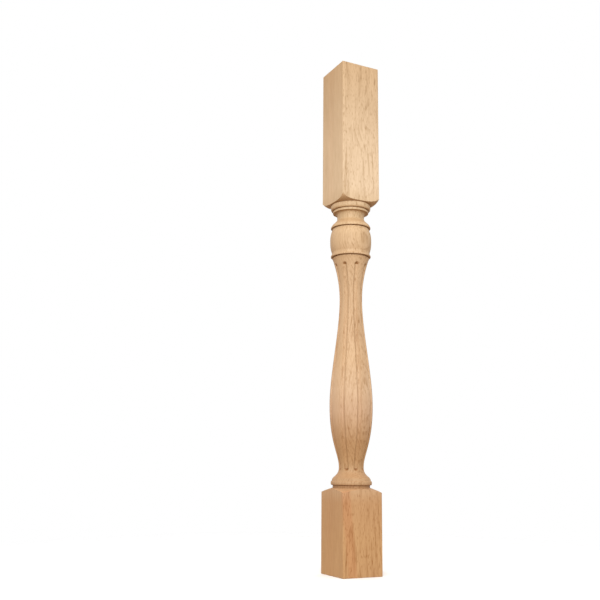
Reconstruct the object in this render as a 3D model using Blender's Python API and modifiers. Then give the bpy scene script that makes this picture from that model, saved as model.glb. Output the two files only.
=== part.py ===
"""Fluted bar column: one square timber, turned between its two blocks and fluted along the shaft.

Metres, +Z up. The origin is the middle of the underside, and the square's faces look along X and Y.
"""

import math

import bmesh
import bpy
from mathutils import Vector
from mathutils.geometry import interpolate_bezier

INCH = 0.0254

# The timber
TOTAL_HEIGHT = 42 * INCH
SQUARE = 3.5 * INCH
UPPER_BLOCK_LENGTH = 11.75 * INCH
LOWER_BLOCK_LENGTH = 6.25 * INCH
ARRIS = 0.0008
WOOD_COLOUR = (0.69, 0.44, 0.235, 1.0)
WOOD_ROUGHNESS = 0.55

# The facets round the column, and how far the turned outline runs past the timber
TURNING_STEPS = 36
OVERRUN = 0.002

# The facets along each curve of the outline, from the top down
SHOULDER_FACETS = 5
BEAD_FACETS = 6
CAP_COVE_FACETS = 4
CAP_OGEE_FACETS = 6
VASE_FACETS = 8
VASE_FOOT_FACETS = 3
SHAFT_HEAD_FACETS = 7
WAIST_TO_BELLY_FACETS = 9
BELLY_TO_NECK_FACETS = 8
NECK_TO_FLARE_FACETS = 7

# Shoulder and mouldings under the upper block, from the top down
UPPER_SHOULDER_DROP = 0.0100
UPPER_SHOULDER_RADIUS = 0.0402
UPPER_SHOULDER_TURN_RADIUS = 0.0555
TORUS_HEIGHT = 0.0135
TORUS_RADIUS = 0.0424
TORUS_ROOT_RADIUS = 0.0396
QUIRK_HEIGHT = 0.0016
QUIRK_RADIUS = 0.0378
CAP_FILLET_HEIGHT = 0.0045
CAP_FILLET_RADIUS = 0.0377
CAP_COVE_RADIUS = 0.0335
CAP_COVE_HEIGHT = 0.0110
CAP_NECK_RADIUS = 0.0286
CAP_OGEE_HEIGHT = 0.0187
CAP_OGEE_SHARES = (0.40, 0.32)

# The vase between its two lips
LIP_RADIUS = 0.0421
LIP_UNDERCUT_HEIGHT = 0.0028
UPPER_LIP_HEIGHT = 0.0028
VASE_HEIGHT = 0.0500
VASE_TOP_RADIUS = 0.0388
VASE_FOOT_RADIUS = 0.0400
VASE_RADIUS = 0.0436
VASE_FULLNESS = 2.5
VASE_FOOT_COVE_HEIGHT = 0.0066
LOWER_LIP_HEIGHT = 0.0034

# The shaft, whose waist lies a share of its own length below its head, and its belly and neck
# such shares above its foot; each S-curve leaves and arrives upright for its pair of shares
SHAFT_HEAD_RADIUS = 0.0385
WAIST_RADIUS = 0.0235
WAIST_SHARE = 0.193
BELLY_RADIUS = 0.0441
BELLY_SHARE = 0.327
SHAFT_NECK_RADIUS = 0.0250
SHAFT_NECK_SHARE = 0.056
WAIST_TO_BELLY_SHARES = (0.31, 0.30)
BELLY_TO_NECK_SHARES = (0.61, 0.21)
NECK_TO_FLARE_SHARES = (0.72, 0.34)

# The flare, bead, groove and shoulder on the lower block
FLARE_RADIUS = 0.0390
FOOT_STEP_HEIGHT = 0.0014
FOOT_BEAD_HEIGHT = 0.0080
FOOT_BEAD_RADIUS = 0.0415
FOOT_BEAD_ROOT_RADIUS = 0.0398
FOOT_GROOVE_HEIGHT = 0.0058
FOOT_GROOVE_RADIUS = 0.0387
LOWER_SHOULDER_DROP = 0.0085
LOWER_SHOULDER_RADIUS = 0.0398

# The flutes, run by a round-nosed cutter; the turn is how far one lies from the middle of a face
FLUTE_COUNT = 8
FLUTE_CUTTER_RADIUS = 0.0048
FLUTE_DEPTH = 0.0026
FLUTE_HEAD_MARGIN = 0.0125
FLUTE_FOOT_MARGIN = 0.0185
FLUTE_TURN = math.radians(-7.8)
FLUTE_END_STEPS = 3
FLUTE_ROUNDNESS = 3

ARRIS_SEGMENTS = 2
SHARP_EDGE_ANGLE = math.radians(30)
LATHE_WELD = 0.00001
CUTTER_WELD = 0.000001


def ogee(start, end, shares, segments):
    """An S-shaped stretch that leaves and arrives upright, each for a share of its height."""
    start_share, end_share = shares
    height = start[1] - end[1]
    first_handle = Vector((start[0], start[1] - start_share * height))
    last_handle = Vector((end[0], end[1] + end_share * height))
    points = interpolate_bezier(
        Vector(start), first_handle, last_handle, Vector(end), segments + 1
    )
    return [(point.x, point.y) for point in points]


def hollow(start, corner, end, segments):
    """A single curve that leaves the start towards the corner and reaches the end from it."""
    start, corner, end = Vector(start), Vector(corner), Vector(end)
    first_handle = start.lerp(corner, 2 / 3)
    last_handle = end.lerp(corner, 2 / 3)
    points = interpolate_bezier(start, first_handle, last_handle, end, segments + 1)
    return [(point.x, point.y) for point in points]


def half_round(root_radius, crown_radius, top, height, segments):
    """A bead or torus: half an ellipse that stands out from its root."""
    points = []
    for step in range(segments + 1):
        angle = math.pi * step / segments
        radius = root_radius + (crown_radius - root_radius) * math.sin(angle)
        points.append((radius, top - height * (1 - math.cos(angle)) / 2))
    return points


def vase_outline(top, segments):
    """The vase's shallow swelling, which falls away faster near its ends."""
    points = []
    for step in range(segments + 1):
        share = step / segments
        end_radius = VASE_TOP_RADIUS if share < 0.5 else VASE_FOOT_RADIUS
        falling = abs(2 * share - 1) ** VASE_FULLNESS
        radius = VASE_RADIUS - (VASE_RADIUS - end_radius) * falling
        points.append((radius, top - share * VASE_HEIGHT))
    return points


CORNER_RADIUS = SQUARE / math.sqrt(2)
OUTER_RADIUS = CORNER_RADIUS + OVERRUN


def cap_outline(block_end):
    """Shoulder, torus, fillet, neck and vase, from the upper block's corners to the shaft's head."""
    slope = UPPER_SHOULDER_DROP / (CORNER_RADIUS - UPPER_SHOULDER_TURN_RADIUS)
    torus_top = block_end - UPPER_SHOULDER_DROP
    quirk_top = torus_top - TORUS_HEIGHT
    fillet_top = quirk_top - QUIRK_HEIGHT
    cove_top = fillet_top - CAP_FILLET_HEIGHT
    neck = cove_top - CAP_COVE_HEIGHT
    lip_top = neck - CAP_OGEE_HEIGHT
    lip_foot = lip_top - UPPER_LIP_HEIGHT
    vase_top = lip_foot - LIP_UNDERCUT_HEIGHT
    vase_foot = vase_top - VASE_HEIGHT
    lower_lip_top = vase_foot - VASE_FOOT_COVE_HEIGHT
    lower_lip_foot = lower_lip_top - LOWER_LIP_HEIGHT
    shaft_head = lower_lip_foot - LIP_UNDERCUT_HEIGHT
    turn = (UPPER_SHOULDER_TURN_RADIUS, torus_top)
    shoulder_end = (UPPER_SHOULDER_RADIUS, torus_top)
    points = hollow((CORNER_RADIUS, block_end), turn, shoulder_end, SHOULDER_FACETS)
    points[0] = (OUTER_RADIUS, block_end + slope * OVERRUN)
    points += half_round(TORUS_ROOT_RADIUS, TORUS_RADIUS, torus_top, TORUS_HEIGHT, BEAD_FACETS)
    points += [(QUIRK_RADIUS, quirk_top), (QUIRK_RADIUS, fillet_top)]
    points += [(CAP_FILLET_RADIUS, fillet_top), (CAP_FILLET_RADIUS, cove_top)]
    cove_start, cove_corner = (CAP_COVE_RADIUS, cove_top), (CAP_NECK_RADIUS, cove_top)
    cove_end = (CAP_NECK_RADIUS, neck)
    points += hollow(cove_start, cove_corner, cove_end, CAP_COVE_FACETS)
    points += ogee(cove_end, (LIP_RADIUS, lip_top), CAP_OGEE_SHARES, CAP_OGEE_FACETS)[1:]
    points += [(LIP_RADIUS, lip_foot), (VASE_TOP_RADIUS, lip_foot)]
    points += vase_outline(vase_top, VASE_FACETS)
    foot_start, foot_corner = (VASE_FOOT_RADIUS, vase_foot), (VASE_FOOT_RADIUS, lower_lip_top)
    foot_end = (LIP_RADIUS, lower_lip_top)
    points += hollow(foot_start, foot_corner, foot_end, VASE_FOOT_FACETS)[1:]
    points += [(LIP_RADIUS, lower_lip_foot), (SHAFT_HEAD_RADIUS, lower_lip_foot)]
    return points, shaft_head


def foot_outline(block_end):
    """Bead, groove and shoulder, from the shaft's flare down to the lower block's corners."""
    slope = LOWER_SHOULDER_DROP / (CORNER_RADIUS - LOWER_SHOULDER_RADIUS)
    shoulder_top = block_end + LOWER_SHOULDER_DROP
    groove_top = shoulder_top + FOOT_GROOVE_HEIGHT
    bead_top = groove_top + FOOT_BEAD_HEIGHT
    shaft_foot = bead_top + FOOT_STEP_HEIGHT
    points = [(FLARE_RADIUS, bead_top)]
    points += half_round(
        FOOT_BEAD_ROOT_RADIUS, FOOT_BEAD_RADIUS, bead_top, FOOT_BEAD_HEIGHT, BEAD_FACETS
    )
    points += [(FOOT_GROOVE_RADIUS, groove_top), (FOOT_GROOVE_RADIUS, shoulder_top)]
    points += [(LOWER_SHOULDER_RADIUS, shoulder_top), (OUTER_RADIUS, block_end - slope * OVERRUN)]
    return points, shaft_foot


def shaft_outline(head, foot):
    """The shaft's waist, belly and neck, from its head down to the end of its flare."""
    length = head - foot
    waist = (WAIST_RADIUS, head - WAIST_SHARE * length)
    belly = (BELLY_RADIUS, foot + BELLY_SHARE * length)
    neck = (SHAFT_NECK_RADIUS, foot + SHAFT_NECK_SHARE * length)
    bend = (WAIST_RADIUS, (head + waist[1]) / 2)
    flare = (FLARE_RADIUS, foot)
    points = hollow((SHAFT_HEAD_RADIUS, head), bend, waist, SHAFT_HEAD_FACETS)
    points += ogee(waist, belly, WAIST_TO_BELLY_SHARES, WAIST_TO_BELLY_FACETS)[1:]
    points += ogee(belly, neck, BELLY_TO_NECK_SHARES, BELLY_TO_NECK_FACETS)[1:]
    points += ogee(neck, flare, NECK_TO_FLARE_SHARES, NECK_TO_FLARE_FACETS)[1:]
    return points


def radius_at(outline, height):
    """The outline's radius at a height, read between its two nearest points."""
    for upper, lower in zip(outline, outline[1:]):
        if lower[1] <= height <= upper[1]:
            share = (upper[1] - height) / (upper[1] - lower[1])
            return upper[0] + share * (lower[0] - upper[0])
    return outline[-1][0]


def add_object(name, mesh, collection):
    """Puts a mesh in the scene as a named object."""
    item = bpy.data.objects.new(name, mesh)
    collection.objects.link(item)
    return item


def hide_cutter(item):
    """Keeps a cutter out of renders and shows it as wire."""
    item.hide_render = True
    item.display_type = "WIRE"


def square_blank(name, collection):
    """The sawn timber with its arrises eased."""
    cube = bmesh.new()
    bmesh.ops.create_cube(cube, size=1.0)
    bmesh.ops.scale(cube, vec=(SQUARE, SQUARE, TOTAL_HEIGHT), verts=cube.verts)
    bmesh.ops.translate(cube, vec=(0, 0, TOTAL_HEIGHT / 2), verts=cube.verts)
    mesh = bpy.data.meshes.new(name)
    cube.to_mesh(mesh)
    cube.free()
    blank = add_object(name, mesh, collection)
    bevel = blank.modifiers.new("Eased arrises", "BEVEL")
    bevel.width = ARRIS
    bevel.segments = ARRIS_SEGMENTS
    return blank


def turned_form(outline, collection):
    """The round form that the lathe leaves of the timber, past the timber where it stays square."""
    mesh = bpy.data.meshes.new("Turned form")
    edges = [(index, index + 1) for index in range(len(outline) - 1)]
    mesh.from_pydata([(radius, 0, height) for radius, height in outline], edges, [])
    form = add_object("Turned form", mesh, collection)
    screw = form.modifiers.new("Lathe", "SCREW")
    screw.axis = "Z"
    screw.steps = TURNING_STEPS
    screw.render_steps = TURNING_STEPS
    screw.use_merge_vertices = True
    screw.merge_threshold = LATHE_WELD
    hide_cutter(form)
    return form


def flute_path(outline, head, foot):
    """(distance out, height, share of the cutter's radius) along the middle of the cutter."""
    standoff = FLUTE_CUTTER_RADIUS - FLUTE_DEPTH
    top = head - FLUTE_HEAD_MARGIN - FLUTE_CUTTER_RADIUS
    bottom = foot + FLUTE_FOOT_MARGIN + FLUTE_CUTTER_RADIUS
    heights = [top] + [point[1] for point in outline if bottom < point[1] < top] + [bottom]
    path = [(radius_at(outline, height) + standoff, height, 1.0) for height in heights]
    for step in range(1, FLUTE_END_STEPS + 1):
        angle = math.pi / 2 * step / (FLUTE_END_STEPS + 0.5)
        reach = FLUTE_CUTTER_RADIUS * math.sin(angle)
        size = math.cos(angle)
        path.insert(0, (radius_at(outline, top + reach) + standoff, top + reach, size))
        path.append((radius_at(outline, bottom - reach) + standoff, bottom - reach, size))
    return path


def flute_cutter_mesh(path):
    """A round bar with rounded ends that follows the shaft's outline in the XZ plane."""
    curve = bpy.data.curves.new("Flute cutter path", "CURVE")
    curve.dimensions = "3D"
    curve.bevel_depth = FLUTE_CUTTER_RADIUS
    curve.bevel_resolution = FLUTE_ROUNDNESS
    curve.use_fill_caps = True
    spline = curve.splines.new("POLY")
    spline.points.add(len(path) - 1)
    for point, (distance, height, size) in zip(spline.points, path):
        point.co = (distance, 0, height, 1)
        point.radius = size
    guide = add_object("Flute cutter path", curve, bpy.context.scene.collection)
    depsgraph = bpy.context.evaluated_depsgraph_get()
    mesh = bpy.data.meshes.new_from_object(guide.evaluated_get(depsgraph))
    bpy.data.objects.remove(guide)
    welded = bmesh.new()
    welded.from_mesh(mesh)
    bmesh.ops.remove_doubles(welded, verts=welded.verts, dist=CUTTER_WELD)
    welded.to_mesh(mesh)
    welded.free()
    return mesh


def wood_material():
    """Pale hardwood, sanded and unfinished."""
    material = bpy.data.materials.new("Sanded hardwood")
    material.use_nodes = True
    shader = material.node_tree.nodes["Principled BSDF"]
    shader.inputs["Base Color"].default_value = WOOD_COLOUR
    shader.inputs["Roughness"].default_value = WOOD_ROUGHNESS
    shader.inputs["Metallic"].default_value = 0.0
    return material


def add_boolean(item, operation, cutter):
    """Cuts an object with another, or keeps what they share."""
    boolean = item.modifiers.new(cutter.name, "BOOLEAN")
    boolean.operation = operation
    boolean.object = cutter


def finish_surface(item):
    """Keeps the carved mesh as the object's own, smooth where it is round."""
    depsgraph = bpy.context.evaluated_depsgraph_get()
    carved = bpy.data.meshes.new_from_object(item.evaluated_get(depsgraph))
    carved.name = item.name
    item.modifiers.clear()
    item.data = carved
    carved.shade_smooth()
    carved.set_sharp_from_angle(angle=SHARP_EDGE_ANGLE)


def build_column():
    """Turns the blank between its blocks, runs the flutes and finishes the surface."""
    for item in list(bpy.data.objects):
        bpy.data.objects.remove(item)
    parts = bpy.data.collections.new("Fluted bar column")
    cutters = bpy.data.collections.new("Cutters")
    bpy.context.scene.collection.children.link(parts)
    bpy.context.scene.collection.children.link(cutters)

    cap, shaft_head = cap_outline(TOTAL_HEIGHT - UPPER_BLOCK_LENGTH)
    base, shaft_foot = foot_outline(LOWER_BLOCK_LENGTH)
    shaft = shaft_outline(shaft_head, shaft_foot)
    above, below = TOTAL_HEIGHT + OVERRUN, -OVERRUN
    outline = [(0, above), (OUTER_RADIUS, above)] + cap + shaft + base
    outline += [(OUTER_RADIUS, below), (0, below)]

    column = square_blank("fluted_bar_column", parts)
    column.data.materials.append(wood_material())
    add_boolean(column, "INTERSECT", turned_form(outline, cutters))
    cutter_mesh = flute_cutter_mesh(flute_path(shaft, shaft_head, shaft_foot))
    for index in range(FLUTE_COUNT):
        cutter = add_object(f"Flute cutter {index + 1}", cutter_mesh, cutters)
        cutter.rotation_euler.z = FLUTE_TURN + math.tau * index / FLUTE_COUNT
        hide_cutter(cutter)
        add_boolean(column, "DIFFERENCE", cutter)
    finish_surface(column)


build_column()
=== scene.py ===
import math

import bpy
from mathutils import Matrix, Vector
from mathutils.geometry import interpolate_bezier


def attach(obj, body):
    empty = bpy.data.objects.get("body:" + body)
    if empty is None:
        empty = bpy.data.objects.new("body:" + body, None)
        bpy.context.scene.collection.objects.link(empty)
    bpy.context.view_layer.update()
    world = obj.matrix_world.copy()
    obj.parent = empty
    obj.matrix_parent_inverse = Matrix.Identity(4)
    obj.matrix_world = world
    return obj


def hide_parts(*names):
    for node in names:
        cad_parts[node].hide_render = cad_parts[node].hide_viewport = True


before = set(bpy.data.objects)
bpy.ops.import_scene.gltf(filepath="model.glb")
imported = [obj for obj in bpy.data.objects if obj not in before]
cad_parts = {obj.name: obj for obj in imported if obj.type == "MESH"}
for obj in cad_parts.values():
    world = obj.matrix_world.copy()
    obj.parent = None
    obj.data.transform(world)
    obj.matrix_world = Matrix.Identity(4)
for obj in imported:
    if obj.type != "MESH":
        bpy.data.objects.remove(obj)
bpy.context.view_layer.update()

# The turned form
# The column is one glued-up hardwood timber, turned between its two square blocks: shoulder,
# torus, cove and vase at the head, a long waisted shaft, and a bead and shoulder at the foot.
INCH = 0.0254
TOTAL_HEIGHT = 42 * INCH
SQUARE = 3.5 * INCH
UPPER_BLOCK_END = TOTAL_HEIGHT - 11.75 * INCH
LOWER_BLOCK_END = 6.25 * INCH
CORNER_RADIUS = SQUARE / math.sqrt(2)
PAST_TIMBER = 0.002

TORUS_TOP = UPPER_BLOCK_END - 0.0100
QUIRK_TOP = TORUS_TOP - 0.0123
FILLET_TOP = QUIRK_TOP - 0.0017
CAP_COVE_TOP = FILLET_TOP - 0.0040
CAP_NECK = CAP_COVE_TOP - 0.0126
UPPER_LIP_TOP = CAP_NECK - 0.0187
UPPER_LIP_FOOT = UPPER_LIP_TOP - 0.0028
VASE_TOP = UPPER_LIP_FOOT - 0.0028
VASE_FOOT = VASE_TOP - 0.0500
LOWER_LIP_TOP = VASE_FOOT - 0.0066
LOWER_LIP_FOOT = LOWER_LIP_TOP - 0.0034
SHAFT_HEAD = LOWER_LIP_FOOT - 0.0028
LOWER_SHOULDER_TOP = LOWER_BLOCK_END + 0.0085
GROOVE_TOP = LOWER_SHOULDER_TOP + 0.0058
BEAD_TOP = GROOVE_TOP + 0.0080
SHAFT_FOOT = BEAD_TOP + 0.0014
SHAFT_LENGTH = SHAFT_HEAD - SHAFT_FOOT

UPPER_SHOULDER_RADIUS = 0.0402
SHOULDER_TURN_RADIUS = 0.0555
TORUS_ROOT_RADIUS = 0.0396
TORUS_RADIUS = 0.0424
QUIRK_RADIUS = 0.0362
FILLET_RADIUS = 0.0377
CAP_COVE_RADIUS = 0.0335
CAP_NECK_RADIUS = 0.0286
LIP_RADIUS = 0.0421
LIP_ROUNDING = 0.0008
LIP_QUIRK_RADIUS = 0.0358
LIP_QUIRK_HEIGHT = 0.0016
VASE_TOP_RADIUS = 0.0388
VASE_RADIUS = 0.0436
VASE_FULLNESS = 2.5
VASE_FOOT_RADIUS = 0.0400
SHAFT_HEAD_RADIUS = 0.0385
SHAFT_STEP = 0.0003
WAIST = (0.0235, SHAFT_HEAD - 0.193 * SHAFT_LENGTH)
BELLY = (0.0441, SHAFT_FOOT + 0.327 * SHAFT_LENGTH)
SHAFT_NECK = (0.0250, SHAFT_FOOT + 0.056 * SHAFT_LENGTH)
FLARE_RADIUS = 0.0390
BEAD_ROOT_RADIUS = 0.0398
BEAD_RADIUS = 0.0415
GROOVE_RADIUS = 0.0376
LOWER_SHOULDER_RADIUS = 0.0398

# How far the S-shaped stretches run straight at their upper and lower ends, as shares of their
# height.
CAP_FLARE_SHARES = (0.40, 0.32)
WAIST_SHARES = (0.31, 0.30)
BELLY_SHARES = (0.61, 0.21)
FLARE_SHARES = (0.72, 0.34)

# How many straight parts each curve is drawn with.
SHOULDER_PARTS = 14
TORUS_PARTS = 16
CAP_COVE_PARTS = 10
CAP_FLARE_PARTS = 16
LIP_PARTS = 4
VASE_PARTS = 24
VASE_FOOT_PARTS = 8
WAIST_PARTS = 60
BELLY_PARTS = 80
NECK_PARTS = 60
FLARE_PARTS = 30
BEAD_PARTS = 14


def curve_between(start, first_handle, last_handle, end, parts):
    """The points of one turned curve, as (radius, height)."""
    points = interpolate_bezier(
        Vector(start), Vector(first_handle), Vector(last_handle), Vector(end), parts + 1
    )
    return [(point.x, point.y) for point in points]


def s_curve(start, end, shares, parts):
    """An S-shaped stretch, upright at both ends."""
    height = start[1] - end[1]
    first_handle = (start[0], start[1] - shares[0] * height)
    last_handle = (end[0], end[1] + shares[1] * height)
    return curve_between(start, first_handle, last_handle, end, parts)


def hollow(start, corner, end, parts):
    """A hollow or a round that bends round a corner."""
    first_handle = Vector(start).lerp(Vector(corner), 2 / 3)
    last_handle = Vector(end).lerp(Vector(corner), 2 / 3)
    return curve_between(start, first_handle, last_handle, end, parts)


def half_round(root_radius, crown_radius, top, foot, parts):
    """A bead or torus that stands out from its root."""
    points = []
    for step in range(parts + 1):
        angle = math.pi * step / parts
        radius = root_radius + (crown_radius - root_radius) * math.sin(angle)
        points.append((radius, top - (top - foot) * (1 - math.cos(angle)) / 2))
    return points


def thin_lip(top, foot):
    """A thin square lip whose two outer corners are sanded round."""
    start, end = (LIP_RADIUS - LIP_ROUNDING, top), (LIP_RADIUS, top - LIP_ROUNDING)
    points = hollow(start, (LIP_RADIUS, top), end, LIP_PARTS)
    start, end = (LIP_RADIUS, foot + LIP_ROUNDING), (LIP_RADIUS - LIP_ROUNDING, foot)
    return points + hollow(start, (LIP_RADIUS, foot), end, LIP_PARTS)


def vase_side(parts):
    """The vase's shallow swelling."""
    points = []
    for step in range(parts + 1):
        share = step / parts
        end_radius = VASE_TOP_RADIUS if share < 0.5 else VASE_FOOT_RADIUS
        falling = abs(2 * share - 1) ** VASE_FULLNESS
        radius = VASE_RADIUS - (VASE_RADIUS - end_radius) * falling
        points.append((radius, VASE_TOP - share * (VASE_TOP - VASE_FOOT)))
    return points


upper_slope = (UPPER_BLOCK_END - TORUS_TOP) / (CORNER_RADIUS - SHOULDER_TURN_RADIUS)
lower_slope = (LOWER_SHOULDER_TOP - LOWER_BLOCK_END) / (CORNER_RADIUS - LOWER_SHOULDER_RADIUS)
outer_radius = CORNER_RADIUS + PAST_TIMBER

# The turned outline from the upper shoulder down to the shaft's head.
shoulder_start = (CORNER_RADIUS, UPPER_BLOCK_END)
shoulder_turn = (SHOULDER_TURN_RADIUS, TORUS_TOP)
shoulder_end = (UPPER_SHOULDER_RADIUS, TORUS_TOP)
outline = [(outer_radius, UPPER_BLOCK_END + upper_slope * PAST_TIMBER)]
outline += hollow(shoulder_start, shoulder_turn, shoulder_end, SHOULDER_PARTS)
outline += half_round(TORUS_ROOT_RADIUS, TORUS_RADIUS, TORUS_TOP, QUIRK_TOP, TORUS_PARTS)
outline += [(QUIRK_RADIUS, QUIRK_TOP), (QUIRK_RADIUS, FILLET_TOP)]
outline += [(FILLET_RADIUS, FILLET_TOP), (FILLET_RADIUS, CAP_COVE_TOP)]
cove_start = (CAP_COVE_RADIUS, CAP_COVE_TOP)
cove_corner = (CAP_NECK_RADIUS, CAP_COVE_TOP)
cove_end = (CAP_NECK_RADIUS, CAP_NECK)
outline += hollow(cove_start, cove_corner, cove_end, CAP_COVE_PARTS)
upper_lip_root = (LIP_RADIUS - LIP_ROUNDING, UPPER_LIP_TOP)
outline += s_curve(cove_end, upper_lip_root, CAP_FLARE_SHARES, CAP_FLARE_PARTS)[1:-1]
outline += thin_lip(UPPER_LIP_TOP, UPPER_LIP_FOOT)
quirk_foot = UPPER_LIP_FOOT - LIP_QUIRK_HEIGHT
outline += [(LIP_QUIRK_RADIUS, UPPER_LIP_FOOT), (LIP_QUIRK_RADIUS, quirk_foot)]
outline += [(VASE_TOP_RADIUS, quirk_foot)]
outline += vase_side(VASE_PARTS)
vase_end = (VASE_FOOT_RADIUS, VASE_FOOT)
vase_corner = (VASE_FOOT_RADIUS, LOWER_LIP_TOP)
lower_lip_root = (LIP_RADIUS - LIP_ROUNDING, LOWER_LIP_TOP)
outline += hollow(vase_end, vase_corner, lower_lip_root, VASE_FOOT_PARTS)[1:-1]
outline += thin_lip(LOWER_LIP_TOP, LOWER_LIP_FOOT)
outline += [(LIP_QUIRK_RADIUS, LOWER_LIP_FOOT), (LIP_QUIRK_RADIUS, SHAFT_HEAD + SHAFT_STEP)]

head_corner = (WAIST[0], (SHAFT_HEAD + WAIST[1]) / 2)
shaft = hollow((SHAFT_HEAD_RADIUS, SHAFT_HEAD), head_corner, WAIST, WAIST_PARTS)
shaft += s_curve(WAIST, BELLY, WAIST_SHARES, BELLY_PARTS)[1:]
shaft += s_curve(BELLY, SHAFT_NECK, BELLY_SHARES, NECK_PARTS)[1:]
shaft += s_curve(SHAFT_NECK, (FLARE_RADIUS, SHAFT_FOOT), FLARE_SHARES, FLARE_PARTS)[1:]


def shaft_radius(height):
    """The plain shaft's radius at a height, before its flutes are run."""
    for upper, lower in zip(shaft, shaft[1:]):
        if lower[1] <= height <= upper[1]:
            share = (upper[1] - height) / (upper[1] - lower[1])
            return upper[0] + share * (lower[0] - upper[0])
    return shaft[-1][0]


# The flutes are run by a round-nosed cutter, eight round the shaft, and end in its nose.
FLUTE_COUNT = 8
FLUTE_TURN = math.radians(-7.8)
CUTTER_RADIUS = 0.0048
FLUTE_DEPTH = 0.0037
FLUTE_TOP = SHAFT_HEAD - 0.0125 - CUTTER_RADIUS
FLUTE_BOTTOM = SHAFT_FOOT + 0.0185 + CUTTER_RADIUS
FLUTE_REACH = 0.0052
EDGE_EASING = 0.0002

# Rings of points lie close together round the flutes' ends and further apart between them.
NOSE_MIDDLE = 0.002
NOSE_ZONE = 0.005
FINE_RING_STEP = 0.0006
RING_STEP = 0.0035

ring_heights = {round(SHAFT_HEAD, 6), round(SHAFT_FOOT, 6)}
height = SHAFT_HEAD
while height > SHAFT_FOOT:
    from_top_nose = abs(height - FLUTE_TOP - NOSE_MIDDLE)
    from_bottom_nose = abs(height - FLUTE_BOTTOM + NOSE_MIDDLE)
    ring_heights.add(round(height, 6))
    height -= FINE_RING_STEP if min(from_top_nose, from_bottom_nose) < NOSE_ZONE else RING_STEP
outline += [(shaft_radius(ring), ring) for ring in sorted(ring_heights, reverse=True)]

# The foot bead, its groove and the lower shoulder, and then both ends, which run past the timber.
outline += half_round(BEAD_ROOT_RADIUS, BEAD_RADIUS, BEAD_TOP, GROOVE_TOP, BEAD_PARTS)
outline += [(GROOVE_RADIUS, GROOVE_TOP), (GROOVE_RADIUS, LOWER_SHOULDER_TOP)]
outline += [(LOWER_SHOULDER_RADIUS, LOWER_SHOULDER_TOP)]
outline += [(outer_radius, LOWER_BLOCK_END - lower_slope * PAST_TIMBER)]
outline = [(0, TOTAL_HEIGHT + PAST_TIMBER), (outer_radius, TOTAL_HEIGHT + PAST_TIMBER)] + outline
outline += [(outer_radius, -PAST_TIMBER), (0, -PAST_TIMBER)]

# Lines of points round the form: those across half a flute stand closer towards its edge, and
# four more lie across half of the land beside it.
HALF_FLUTE_SHARES = (0.0, 0.17, 0.34, 0.50, 0.64, 0.76, 0.855, 0.93, 1.0)
HALF_LAND_LINES = 4
HALF_LINES = len(HALF_FLUTE_SHARES) - 1 + HALF_LAND_LINES
LINES_ROUND = FLUTE_COUNT * 2 * HALF_LINES
WELD = 0.00001

bpy.ops.object.select_all(action="DESELECT")
bpy.ops.mesh.primitive_plane_add(size=0.01, location=(0, 0, 0))
turned = bpy.context.object
turned.name = "turned_form"
bpy.ops.object.mode_set(mode="EDIT")
bpy.ops.mesh.select_all(action="SELECT")
bpy.ops.mesh.merge(type="CENTER")
bpy.ops.transform.translate(value=(outline[0][0], 0, outline[0][1]))
for (radius, height), (next_radius, next_height) in zip(outline, outline[1:]):
    bpy.ops.mesh.extrude_region_move(
        TRANSFORM_OT_translate={"value": (next_radius - radius, 0, next_height - height)}
    )
bpy.ops.mesh.select_all(action="SELECT")
bpy.ops.mesh.spin(steps=LINES_ROUND, angle=math.tau, center=(0, 0, 0), axis=(0, 0, 1))
bpy.ops.mesh.select_all(action="SELECT")
bpy.ops.mesh.remove_doubles(threshold=WELD)
bpy.ops.mesh.normals_make_consistent(inside=False)
bpy.ops.object.mode_set(mode="OBJECT")


def flute_line(lines_out, radius):
    """How far round from a flute's middle a line of points lies, in radians."""
    half_flute = FLUTE_REACH / radius
    last = len(HALF_FLUTE_SHARES) - 1
    if lines_out <= last:
        return half_flute * HALF_FLUTE_SHARES[lines_out]
    return half_flute + (math.pi / FLUTE_COUNT - half_flute) * (lines_out - last) / HALF_LAND_LINES


def flute_depth(across, height):
    """How deep the cutter goes at a distance from a flute's middle line, edges eased."""
    past_end = max(height - FLUTE_TOP, FLUTE_BOTTOM - height, 0)
    distance = math.hypot(across, past_end)
    standoff = CUTTER_RADIUS - FLUTE_DEPTH
    rim = math.sqrt(CUTTER_RADIUS**2 - standoff**2)
    if distance < rim:
        depth = math.sqrt(CUTTER_RADIUS**2 - distance**2) - standoff
    else:
        depth = (rim - distance) * rim / standoff
    return (depth + math.hypot(depth, EDGE_EASING)) / 2


# Each point is moved round to its line across a flute, and in by the flute's depth.
for vertex in turned.data.vertices:
    x, y, height = vertex.co
    radius = math.hypot(x, y)
    if radius < WELD:
        continue
    line = round(math.atan2(y, x) / math.tau * LINES_ROUND)
    sector = round(line / (2 * HALF_LINES))
    lines_out = line - sector * 2 * HALF_LINES
    turn = math.tau * line / LINES_ROUND
    if SHAFT_FOOT < height < SHAFT_HEAD - WELD:
        head_share = (SHAFT_HEAD - height) / (SHAFT_HEAD - FLUTE_TOP - CUTTER_RADIUS)
        foot_share = (height - SHAFT_FOOT) / (FLUTE_BOTTOM - CUTTER_RADIUS - SHAFT_FOOT)
        share = min(1, head_share, foot_share)
        wanted = math.tau * sector / FLUTE_COUNT
        wanted += math.copysign(flute_line(abs(lines_out), radius), lines_out)
        turn += share * (wanted - turn)
        if share >= 1:
            across = radius * (turn - math.tau * sector / FLUTE_COUNT)
            radius -= flute_depth(across, height)
    turn += FLUTE_TURN
    vertex.co = (radius * math.cos(turn), radius * math.sin(turn), height)

# The timber
# The square timber that is left at both ends: sawn to 3 1/2 in, planed, its arrises eased with
# sandpaper. What the timber and the turned form share is the column.
ARRIS = 0.0010
SHARP_EDGE = math.radians(32)

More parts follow.
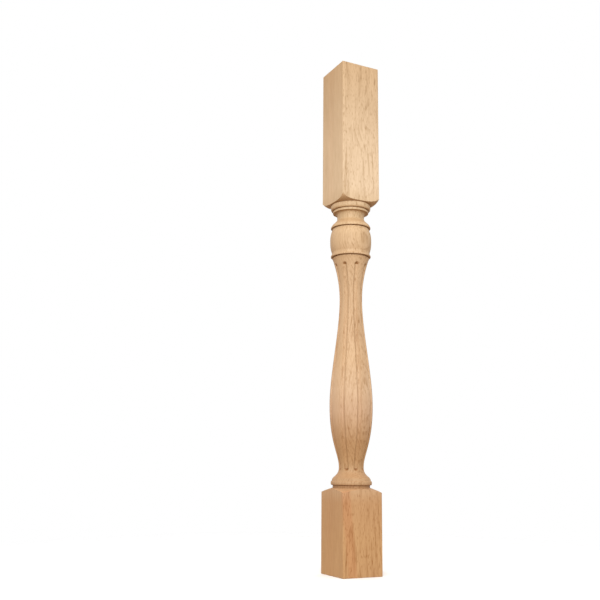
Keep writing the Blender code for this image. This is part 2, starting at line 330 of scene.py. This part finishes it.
bpy.ops.object.select_all(action="DESELECT")
bpy.ops.mesh.primitive_cube_add(size=1, location=(0, 0, 0))
column = bpy.context.object
column.name = "column_wood"
bpy.ops.object.mode_set(mode="EDIT")
bpy.ops.mesh.select_all(action="SELECT")
bpy.ops.transform.resize(value=(SQUARE, SQUARE, TOTAL_HEIGHT))
bpy.ops.transform.translate(value=(0, 0, TOTAL_HEIGHT / 2))
bpy.ops.mesh.bevel(offset=ARRIS, offset_type="OFFSET", segments=4, affect="EDGES")
bpy.ops.object.mode_set(mode="OBJECT")
bpy.ops.object.modifier_add(type="BOOLEAN")
cut = column.modifiers[-1]
cut.operation = "INTERSECT"
cut.object = turned
bpy.ops.object.modifier_apply(modifier=cut.name)
bpy.data.objects.remove(turned)
bpy.ops.object.shade_smooth_by_angle(angle=SHARP_EDGE)
bpy.ops.object.modifier_add(type="WEIGHTED_NORMAL")
weighted = column.modifiers[-1]
weighted.keep_sharp = True
bpy.ops.object.modifier_apply(modifier=weighted.name)

# Painted shade in the hollows: both ends of each flute are painted darker, most where they are
# deepest, for the shade that the light from above leaves there, and the wall of the foot groove is
# painted darker for the bead's shadow on it.
HOLLOW_SHADE_CLEARANCE = 0.001
HOLLOW_SHADE_RISE = 1.3
HOLLOW_SHADE_START = 0.1
GROOVE_PAINTED_SHADE = 0.55

painted_hollow_shade = column.data.attributes.new("painted_hollow_shade", "FLOAT", "POINT")
for vertex, mark in zip(column.data.vertices, painted_hollow_shade.data):
    x, y, height = vertex.co
    radius = math.hypot(x, y)
    in_top_end = FLUTE_TOP < height < SHAFT_HEAD - HOLLOW_SHADE_CLEARANCE
    in_bottom_end = SHAFT_FOOT + HOLLOW_SHADE_CLEARANCE < height < FLUTE_BOTTOM
    in_groove = LOWER_SHOULDER_TOP - WELD < height < GROOVE_TOP + WELD
    if in_top_end or in_bottom_end:
        depth = (shaft_radius(height) - radius) / FLUTE_DEPTH
        mark.value = min(1, max(0, depth * HOLLOW_SHADE_RISE - HOLLOW_SHADE_START))
    elif in_groove and abs(radius - GROOVE_RADIUS) < HOLLOW_SHADE_CLEARANCE:
        mark.value = GROOVE_PAINTED_SHADE


def from_hex(code):
    """A colour's sRGB hex value as linear red, green and blue."""
    shares = [int(code[i : i + 2], 16) / 255 for i in (1, 3, 5)]
    return [s / 12.92 if s <= 0.04045 else ((s + 0.055) / 1.055) ** 2.4 for s in shares] + [1.0]


def add_node(tree, kind, settings=None, **links):
    """Adds one node with its settings, and links or sets its inputs by number, as i0, i1."""
    node = tree.nodes.new(kind)
    for name, value in (settings or {}).items():
        setattr(node, name, value)
    for name, value in links.items():
        socket = node.inputs[int(name[1:])]
        if isinstance(value, bpy.types.NodeSocket):
            tree.links.new(value, socket)
        else:
            socket.default_value = value
    return node


# Pale, fine-pored hardwood such as steamed beech, glued up from boards, planed, turned and sanded,
# with no finish. It is matt and warm tan, with faint growth rings, slow bands of paler and pinker
# wood, short dark pores, and darker end grain wherever the surface cuts across the fibres.
BOARD_THICKNESS = 0.024
RING_WIDTH = 0.0034
WANDER = 0.011
PITH_PLACE = (-0.025, 0.095, 0)
PITH_SPREAD = (0.05, 0.03, 0)
PITH_LEAN = 0.016

# Each pattern's noise scale, how far it is drawn out along the fibres, and where it begins and
# ends within its field.
WANDER_SCALE = 16.0
BAND_SCALE = 48.0
STREAK_SCALE = 190.0
FIBRE_SCALE = 700.0
DASH_SCALE = 520.0
ALONG_WANDER = (1, 1, 0.16)
ALONG_BANDS = (1, 1, 0.09)
ALONG_FIBRES = (1, 1, 0.07)
ALONG_DASHES = (1, 1, 0.22)
RING_EDGE = (0.45, 1.0)
BROKEN_EDGE = (0.38, 0.62)
DASH_EDGE = (0.56, 0.80)

wood = bpy.data.materials.new("Bare sanded hardwood")
wood.use_nodes = True
tree = wood.node_tree
shader = tree.nodes["Principled BSDF"]
shader.inputs["IOR"].default_value = 1.45
shader.inputs["Specular IOR Level"].default_value = 0.35
place = add_node(tree, "ShaderNodeTexCoord").outputs["Object"]
facing = add_node(tree, "ShaderNodeNewGeometry").outputs["Normal"]
split = add_node(tree, "ShaderNodeSeparateXYZ", None, i0=place).outputs
height_share = add_node(
    tree, "ShaderNodeMath", {"operation": "DIVIDE"}, i0=split[2], i1=TOTAL_HEIGHT
).outputs[0]

# The boards are 24 mm thick and glued face to face, so each has its own rings and its own tone.
# One glue line lies a sixth of a board in front of the middle.
board_share = add_node(
    tree, "ShaderNodeMath", {"operation": "MULTIPLY_ADD"},
    i0=split[1], i1=1 / BOARD_THICKNESS, i2=1 / 6,
).outputs[0]
board = add_node(tree, "ShaderNodeMath", {"operation": "FLOOR"}, i0=board_share).outputs[0]
board_chance = add_node(
    tree, "ShaderNodeTexWhiteNoise", {"noise_dimensions": "1D"}, i1=board
).outputs

# The trees weren't straight: the fibres wander by a few millimetres over a hand's length.
drawn_out = add_node(
    tree, "ShaderNodeVectorMath", {"operation": "MULTIPLY"}, i0=place, i1=ALONG_WANDER
).outputs[0]
wander_field = add_node(
    tree, "ShaderNodeTexNoise", None, i0=drawn_out, i2=WANDER_SCALE, i3=2.0, i4=0.5
).outputs["Color"]
both_ways = add_node(
    tree, "ShaderNodeVectorMath", {"operation": "SUBTRACT"}, i0=wander_field, i1=(0.5, 0.5, 0.5)
).outputs[0]
wander = add_node(
    tree, "ShaderNodeVectorMath", {"operation": "MULTIPLY"}, i0=both_ways, i1=(WANDER, WANDER, 0)
).outputs[0]
fibre_place = add_node(
    tree, "ShaderNodeVectorMath", {"operation": "ADD"}, i0=place, i1=wander
).outputs[0]

# Growth rings 3.4 mm wide round a pith that lies behind the timber and leans a little, so that
# the front and back show arches and the sides show straight lines.
pith_shift = add_node(
    tree, "ShaderNodeVectorMath", {"operation": "MULTIPLY"}, i0=board_chance[1], i1=PITH_SPREAD
).outputs[0]
pith = add_node(
    tree, "ShaderNodeVectorMath", {"operation": "ADD"}, i0=pith_shift, i1=PITH_PLACE
).outputs[0]
off_pith = add_node(
    tree, "ShaderNodeVectorMath", {"operation": "SUBTRACT"}, i0=fibre_place, i1=pith
).outputs[0]
level_off_pith = add_node(
    tree, "ShaderNodeVectorMath", {"operation": "MULTIPLY"}, i0=off_pith, i1=(1, 1, 0)
).outputs[0]
from_pith = add_node(
    tree, "ShaderNodeVectorMath", {"operation": "LENGTH"}, i0=level_off_pith
).outputs["Value"]
leaning = add_node(
    tree, "ShaderNodeMath", {"operation": "MULTIPLY_ADD"}, i0=split[2], i1=PITH_LEAN, i2=from_pith
).outputs[0]

# A swelling in the trunk bends the rings round it, so that the upper block's wide face shows an
# oval figure.
EYE_PLACE = (0.009, -0.044, 0.942)
EYE_SCALE = (1 / 0.021, 1 / 0.050, 1 / 0.057)
EYE_SWELLING = 0.0075
EYE_EDGE = 1.6
off_eye = add_node(
    tree, "ShaderNodeVectorMath", {"operation": "SUBTRACT"}, i0=fibre_place, i1=EYE_PLACE
).outputs[0]
eye_share = add_node(
    tree, "ShaderNodeVectorMath", {"operation": "MULTIPLY"}, i0=off_eye, i1=EYE_SCALE
).outputs[0]
from_eye = add_node(
    tree, "ShaderNodeVectorMath", {"operation": "LENGTH"}, i0=eye_share
).outputs["Value"]
swelling = add_node(
    tree, "ShaderNodeMapRange", {"interpolation_type": "SMOOTHSTEP"},
    i0=from_eye, i1=EYE_EDGE, i2=0.0, i3=0.0, i4=EYE_SWELLING,
).outputs[0]
bent = add_node(
    tree, "ShaderNodeMath", {"operation": "ADD"}, i0=leaning, i1=swelling
).outputs[0]
ring_count = add_node(
    tree, "ShaderNodeMath", {"operation": "MULTIPLY"}, i0=bent, i1=1 / RING_WIDTH
).outputs[0]
ring_share = add_node(
    tree, "ShaderNodeMath", {"operation": "FRACT"}, i0=ring_count
).outputs[0]
ring_line = add_node(
    tree, "ShaderNodeMapRange", {"interpolation_type": "SMOOTHSTEP"},
    i0=ring_share, i1=RING_EDGE[0], i2=RING_EDGE[1],
).outputs[0]

# Streaks along the fibres: bands 20 mm wide, streaks 6 mm wide, and fine fibres. The fibres are
# a tenth of a millimetre wide on the real wood and are drawn at about 1 mm, so that they show.
bands = add_node(
    tree, "ShaderNodeVectorMath", {"operation": "MULTIPLY"}, i0=fibre_place, i1=ALONG_BANDS
).outputs[0]
band_tone = add_node(
    tree, "ShaderNodeTexNoise", None, i0=bands, i2=BAND_SCALE, i3=1.0
).outputs[0]
streak_tone = add_node(
    tree, "ShaderNodeTexNoise", None, i0=bands, i2=STREAK_SCALE, i3=2.0
).outputs[0]
threads = add_node(
    tree, "ShaderNodeVectorMath", {"operation": "MULTIPLY"}, i0=fibre_place, i1=ALONG_FIBRES
).outputs[0]
fibre_tone = add_node(
    tree, "ShaderNodeTexNoise", None, i0=threads, i2=FIBRE_SCALE, i3=2.0
).outputs[0]
broken = add_node(
    tree, "ShaderNodeMapRange", {"interpolation_type": "SMOOTHSTEP"},
    i0=streak_tone, i1=BROKEN_EDGE[0], i2=BROKEN_EDGE[1],
).outputs[0]
ragged_ring = add_node(
    tree, "ShaderNodeMath", {"operation": "MULTIPLY"}, i0=ring_line, i1=broken
).outputs[0]

# How far the surface cuts across the fibres: not at all on the blocks' faces, wholly at the ends.
to_ends = add_node(
    tree, "ShaderNodeVectorMath", {"operation": "MULTIPLY"}, i0=facing, i1=(0, 0, 1)
).outputs[0]
endness = add_node(
    tree, "ShaderNodeVectorMath", {"operation": "LENGTH"}, i0=to_ends
).outputs["Value"]
end_grain = add_node(
    tree, "ShaderNodeMapRange", {"interpolation_type": "SMOOTHSTEP"}, i0=endness, i1=0.10, i2=0.90
).outputs[0]

# Ray ends and pores: dark dashes 1 mm wide and 5 mm long. They show where the face looks along
# the rays, at the front and the back, hardly on the sides, and not on slopes across the fibres.
RAYS_FLAT = 0.15
dashes = add_node(
    tree, "ShaderNodeVectorMath", {"operation": "MULTIPLY"}, i0=fibre_place, i1=ALONG_DASHES
).outputs[0]
dash_field = add_node(
    tree, "ShaderNodeTexNoise", None, i0=dashes, i2=DASH_SCALE, i3=0.0
).outputs[0]
dash_mark = add_node(
    tree, "ShaderNodeMapRange", {"interpolation_type": "SMOOTHSTEP"},
    i0=dash_field, i1=DASH_EDGE[0], i2=DASH_EDGE[1],
).outputs[0]
to_front = add_node(
    tree, "ShaderNodeVectorMath", {"operation": "MULTIPLY"}, i0=facing, i1=(0, 1, 0)
).outputs[0]
frontness = add_node(
    tree, "ShaderNodeVectorMath", {"operation": "LENGTH"}, i0=to_front
).outputs["Value"]
ray_side = add_node(
    tree, "ShaderNodeMapRange", None, i0=frontness, i1=0.2, i2=0.9, i3=RAYS_FLAT, i4=1.0
).outputs[0]
long_grain = add_node(
    tree, "ShaderNodeMapRange", None, i0=end_grain, i1=0.0, i2=0.6, i3=1.0, i4=0.0
).outputs[0]
front_dash = add_node(
    tree, "ShaderNodeMath", {"operation": "MULTIPLY"}, i0=dash_mark, i1=ray_side
).outputs[0]
dash = add_node(
    tree, "ShaderNodeMath", {"operation": "MULTIPLY"}, i0=front_dash, i1=long_grain
).outputs[0]

# The timber's tone along its length, by share of the height from the underside, partly the wood's
# own
# and partly painted light: palest in the upper block, a painted light and sheen from above, and
# darker and more orange lower down, a painted shade for the light falling off towards the floor.
# The lower shaft, which faces down, is painted into shade, and the lower shoulder, which faces up,
# into light.
TONES_AND_PAINTED_LIGHT = (
    (0.00, "#BD9568"),
    (0.06, "#BC9467"),
    (0.13, "#B89066"),
    (0.152, "#BE9B76"),
    (0.172, "#B2926E"),
    (0.21, "#B49067"),
    (0.24, "#B18C64"),
    (0.30, "#C1A182"),
    (0.34, "#C7AA8A"),
    (0.40, "#C1A27E"),
    (0.45, "#BE9F7C"),
    (0.60, "#BFA27F"),
    (0.66, "#C2A682"),
    (0.69, "#BFA581"),
    (0.74, "#CDB698"),
    (0.84, "#C9B192"),
    (0.92, "#C0A685"),
    (1.00, "#BC9F7B"),
)
tone = add_node(tree, "ShaderNodeValToRGB", None, i0=height_share)
ramp = tone.color_ramp
while len(ramp.elements) < len(TONES_AND_PAINTED_LIGHT):
    ramp.elements.new(0.5)
for element, (position, code) in zip(ramp.elements, TONES_AND_PAINTED_LIGHT):
    element.position = position
    element.color = from_hex(code)

# The grain darkens the tone: greyer in the upper part, under the painted sheen, and more orange
# lower down, in the painted shade, and faintly on the sides, where the rays lie flat and the wood
# looks even.
GRAIN_WEIGHTS = (
    (ragged_ring, 0.50), (band_tone, 0.5), (streak_tone, 0.3), (fibre_tone, 0.9), (dash, 0.5)
)
GRAIN_MEAN = 0.97
EVEN_DARKENING = 0.25
SIDE_CONTRAST = 0.55
DARK_WOOD_LOW = "#CFBA9F"
DARK_WOOD_HIGH = "#CBC0B0"
grain = -GRAIN_MEAN
for part, weight in GRAIN_WEIGHTS:
    grain = add_node(
        tree, "ShaderNodeMath", {"operation": "MULTIPLY_ADD"}, i0=part, i1=weight, i2=grain
    ).outputs[0]
contrast = add_node(
    tree, "ShaderNodeMapRange", None, i0=ray_side, i1=RAYS_FLAT, i2=1.0, i3=SIDE_CONTRAST, i4=1.0
).outputs[0]
darkening = add_node(
    tree, "ShaderNodeMath", {"operation": "MULTIPLY_ADD"},
    i0=grain, i1=contrast, i2=EVEN_DARKENING,
).outputs[0]
dark_wood = add_node(
    tree, "ShaderNodeMix", {"data_type": "RGBA"}, i0=height_share,
    i6=from_hex(DARK_WOOD_LOW), i7=from_hex(DARK_WOOD_HIGH),
).outputs[2]
darkened = add_node(
    tree, "ShaderNodeMix", {"data_type": "RGBA", "blend_type": "MULTIPLY"}, i0=darkening,
    i6=tone.outputs[0], i7=dark_wood,
).outputs[2]

# Boards differ a little in how pink they are, and a band of pinker heartwood 20 mm wide runs
# out of the wide face at the front corner of the lower block.
HEART_LEAN = 0.10
HEART_PLACE = 0.0225
HEART_EDGE = (0.014, 0.005)
HEART_DEPTH = (-0.034, -0.043)
HEARTWOOD = "#FFF3EF"
BOARD_PINKNESS = 0.45
heart_place = add_node(
    tree, "ShaderNodeMath", {"operation": "MULTIPLY_ADD"},
    i0=split[2], i1=HEART_LEAN, i2=HEART_PLACE,
).outputs[0]
off_heart = add_node(
    tree, "ShaderNodeMath", {"operation": "ADD"}, i0=split[0], i1=heart_place
).outputs[0]
from_heart = add_node(
    tree, "ShaderNodeMath", {"operation": "ABSOLUTE"}, i0=off_heart
).outputs[0]
heart = add_node(
    tree, "ShaderNodeMapRange", {"interpolation_type": "SMOOTHSTEP"},
    i0=from_heart, i1=HEART_EDGE[0], i2=HEART_EDGE[1],
).outputs[0]
near_front = add_node(
    tree, "ShaderNodeMapRange", {"interpolation_type": "SMOOTHSTEP"},
    i0=split[1], i1=HEART_DEPTH[0], i2=HEART_DEPTH[1],
).outputs[0]
board_pinkness = add_node(
    tree, "ShaderNodeMath", {"operation": "MULTIPLY"}, i0=board_chance[0], i1=BOARD_PINKNESS
).outputs[0]
pinkness = add_node(
    tree, "ShaderNodeMath", {"operation": "MULTIPLY_ADD"},
    i0=heart, i1=near_front, i2=board_pinkness,
).outputs[0]
pinker = add_node(
    tree, "ShaderNodeMix", {"data_type": "RGBA", "blend_type": "MULTIPLY"}, i0=pinkness,
    i6=darkened, i7=from_hex(HEARTWOOD),
).outputs[2]

# The upper block's sides, sawn along the rays, are painted a shade yellower than its wide faces: a
# painted warm tint of shade on the sides, which the light reaches less.
SIDE_SHADE_TINT = "#FFFBF4"
BLOCK_EDGE = (0.68, 0.74)
along_rays = add_node(
    tree, "ShaderNodeMapRange", None, i0=ray_side, i1=1.0, i2=RAYS_FLAT
).outputs[0]
in_block = add_node(
    tree, "ShaderNodeMapRange", {"interpolation_type": "SMOOTHSTEP"},
    i0=height_share, i1=BLOCK_EDGE[0], i2=BLOCK_EDGE[1],
).outputs[0]
side_shade_share = add_node(
    tree, "ShaderNodeMath", {"operation": "MULTIPLY"}, i0=along_rays, i1=in_block
).outputs[0]
side_shade_tinted = add_node(
    tree, "ShaderNodeMix", {"data_type": "RGBA", "blend_type": "MULTIPLY"}, i0=side_shade_share,
    i6=pinker, i7=from_hex(SIDE_SHADE_TINT),
).outputs[2]

# End grain soaks up light: the two ends, the shoulders, and any slope that cuts the fibres. The
# flutes' ends and the foot groove's wall are painted brown: painted shade in the hollows.
END_GRAIN = "#FAF0E6"
HOLLOW_SHADE_COLOUR = "#C4AB8C"
cut_across = add_node(
    tree, "ShaderNodeMix", {"data_type": "RGBA", "blend_type": "MULTIPLY"}, i0=end_grain,
    i6=side_shade_tinted, i7=from_hex(END_GRAIN),
).outputs[2]
hollow_shade_share = add_node(tree, "ShaderNodeAttribute", {"attribute_name": "painted_hollow_shade"}).outputs["Fac"]
finished = add_node(
    tree, "ShaderNodeMix", {"data_type": "RGBA", "blend_type": "MULTIPLY"}, i0=hollow_shade_share,
    i6=cut_across, i7=from_hex(HOLLOW_SHADE_COLOUR),
).outputs[2]
tree.links.new(finished, shader.inputs["Base Color"])

# Sanding leaves the fibres standing a little: the sheen varies with them and they catch the light.
BUMP_STRENGTH = 0.35
BUMP_HEIGHT = 0.0003
PORE_DEPTH = 0.8
ROUGHNESS = (0.56, 0.70)
roughness = add_node(
    tree, "ShaderNodeMapRange", None,
    i0=fibre_tone, i1=0.3, i2=0.7, i3=ROUGHNESS[0], i4=ROUGHNESS[1],
).outputs[0]
tree.links.new(roughness, shader.inputs["Roughness"])
relief = add_node(
    tree, "ShaderNodeMath", {"operation": "MULTIPLY_ADD"}, i0=dash, i1=-PORE_DEPTH, i2=fibre_tone
).outputs[0]
bump = add_node(tree, "ShaderNodeBump", None, i0=BUMP_STRENGTH, i1=BUMP_HEIGHT)
tree.links.new(relief, bump.inputs["Height"])
tree.links.new(bump.outputs[0], shader.inputs["Normal"])
column.data.materials.clear()
column.data.materials.append(wood)

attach(column, "root")
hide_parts("fluted_bar_column")

# The studio
# A plain pale floor that runs out into a white room, and one large soft light in front.
FLOOR_RADIUS = 8
FADE_START = 0.35
FADE_END = 1.1

bpy.ops.object.select_all(action="DESELECT")
bpy.ops.mesh.primitive_circle_add(
    vertices=96, radius=FLOOR_RADIUS, fill_type="NGON", location=(0, 0, 0)
)
floor = bpy.context.object
floor.name = "studio_floor"

# Matt white paper, which takes the soft shadow at the column's foot and runs out into the room.
paper = bpy.data.materials.new("White studio paper")
paper.use_nodes = True
tree = paper.node_tree
sheet = tree.nodes["Principled BSDF"]
sheet.inputs["Base Color"].default_value = from_hex("#EFEEEC")
sheet.inputs["Roughness"].default_value = 0.9
spot = add_node(tree, "ShaderNodeTexCoord").outputs["Object"]
far = add_node(tree, "ShaderNodeVectorMath", {"operation": "LENGTH"}, i0=spot).outputs["Value"]
fade = add_node(
    tree, "ShaderNodeMapRange", {"interpolation_type": "SMOOTHSTEP"},
    i0=far, i1=FADE_START, i2=FADE_END,
).outputs[0]
clear = add_node(tree, "ShaderNodeBsdfTransparent").outputs[0]
blend = add_node(tree, "ShaderNodeMixShader", None, i0=fade, i1=sheet.outputs[0], i2=clear)
tree.links.new(blend.outputs[0], tree.nodes["Material Output"].inputs["Surface"])
floor.data.materials.append(paper)
floor.visible_diffuse = False

# The room is dim and warm near the ground and brighter above, and is seen as plain white.
GROUND_LIGHT = (0.50, 0.37, 0.27, 1)
SKY_LIGHT = (1.20, 1.19, 1.18, 1)
SEEN_WHITE = (1, 1, 1, 1)
HORIZON_EDGE = (-0.35, 0.45)
world = bpy.data.worlds.new("White room")
bpy.context.scene.world = world
world.use_nodes = True
tree = world.node_tree
outlook = add_node(tree, "ShaderNodeTexCoord").outputs["Generated"]
upward = add_node(tree, "ShaderNodeSeparateXYZ", None, i0=outlook).outputs[2]
sky = add_node(
    tree, "ShaderNodeMapRange", {"interpolation_type": "SMOOTHSTEP"},
    i0=upward, i1=HORIZON_EDGE[0], i2=HORIZON_EDGE[1],
).outputs[0]
ambient = add_node(
    tree, "ShaderNodeMix", {"data_type": "RGBA"}, i0=sky, i6=GROUND_LIGHT, i7=SKY_LIGHT
).outputs[2]
seen = add_node(tree, "ShaderNodeLightPath").outputs["Is Camera Ray"]
room = add_node(
    tree, "ShaderNodeMix", {"data_type": "RGBA"}, i0=seen, i6=ambient, i7=SEEN_WHITE
).outputs[2]
tree.links.new(room, tree.nodes["Background"].inputs["Color"])


def add_soft_light(name, across, tall, watts, stand, aim):
    """A large soft light on a stand, turned towards the column."""
    light = bpy.data.lights.new(name, "AREA")
    light.shape = "RECTANGLE"
    light.size, light.size_y = across, tall
    light.energy = watts
    holder = bpy.data.objects.new(name, light)
    bpy.context.scene.collection.objects.link(holder)
    holder.location = stand
    holder.rotation_euler = (Vector(aim) - Vector(stand)).to_track_quat("-Z", "Y").to_euler()
    holder.visible_camera = False


KEY_SIDE = 0.7
KEY_WATTS = 20
KEY_STAND = (-0.775, -1.29, 0.98)
KEY_AIM = (0, 0, 0.70)
add_soft_light("key_light", KEY_SIDE, KEY_SIDE, KEY_WATTS, KEY_STAND, KEY_AIM)

# The camera stands low, a little left of the wide face, and looks up along the column.
CAMERA_STAND = (-0.8556, -1.4655, 0.2074)
CAMERA_TURN = math.radians(-26.67)
CAMERA_RISE = math.radians(11.478)
CAMERA_ROLL = math.radians(0.58)
SENSOR_WIDTH = 36
LENS = 49.36

camera_data = bpy.data.cameras.new("camera")
camera_data.sensor_width = SENSOR_WIDTH
camera_data.lens = LENS
camera = bpy.data.objects.new("camera", camera_data)
bpy.context.scene.collection.objects.link(camera)
camera.location = CAMERA_STAND
camera.rotation_euler = (
    Matrix.Rotation(CAMERA_TURN, 3, "Z")
    @ Matrix.Rotation(math.pi / 2 + CAMERA_RISE, 3, "X")
    @ Matrix.Rotation(CAMERA_ROLL, 3, "Z")
).to_euler()
bpy.context.scene.camera = camera
bpy.context.scene.view_settings.view_transform = "Standard"
